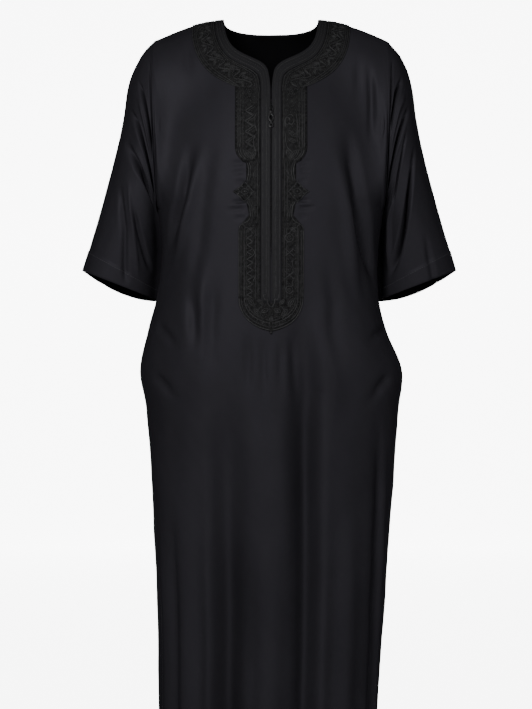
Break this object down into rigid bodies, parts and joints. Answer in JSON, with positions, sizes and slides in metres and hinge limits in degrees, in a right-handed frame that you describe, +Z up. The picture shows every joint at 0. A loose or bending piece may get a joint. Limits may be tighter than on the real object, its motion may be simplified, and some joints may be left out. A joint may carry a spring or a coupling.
{
  "type": "gandoura",
  "caption": "Ankle-length black satin gandoura with short wide sleeves, slit round neck, tone-on-tone embroidered breast, zip and side pockets, in its worn shape.",
  "frame": {"origin": "midway between the neck ends of the two shoulder seams, at their height", "axes": "+Z up the garment, -Y out of the breast, +X towards the wearer's left (the right of the garment seen from the front)"},
  "size_m": [0.683, 0.2932, 1.4212],
  "materials": {
    "satin": "black satin-weave cloth with a soft low sheen",
    "edging": "plain black satin band",
    "thread": "black embroidery thread, slightly glossy, raised",
    "tape": "black woven zip tape",
    "zip_metal": "glossy black enamelled metal"
  },
  "bodies": {
    "garment": {"front": "satin", "back": "satin", "sleeve_right": "satin", "sleeve_left": "satin", "pocket_right": "satin", "pocket_left": "satin", "edging_right": "edging", "edging_left": "edging", "edging_back": "edging", "embroidery_front": "thread", "embroidery_back": "thread", "zip_tape_right": "tape", "zip_tape_left": "tape", "zip_slider": "zip_metal"},
    "pull": {"zip_pull": "zip_metal"}
  },
  "joints": [
    {"name": "zip_pull_swing", "type": "hinge", "parent": "garment", "child": "pull", "pos_m": [0, -0.11698, -0.17142], "axis": [-1, 0, 0], "range_deg": [0, 150]}
  ]
}
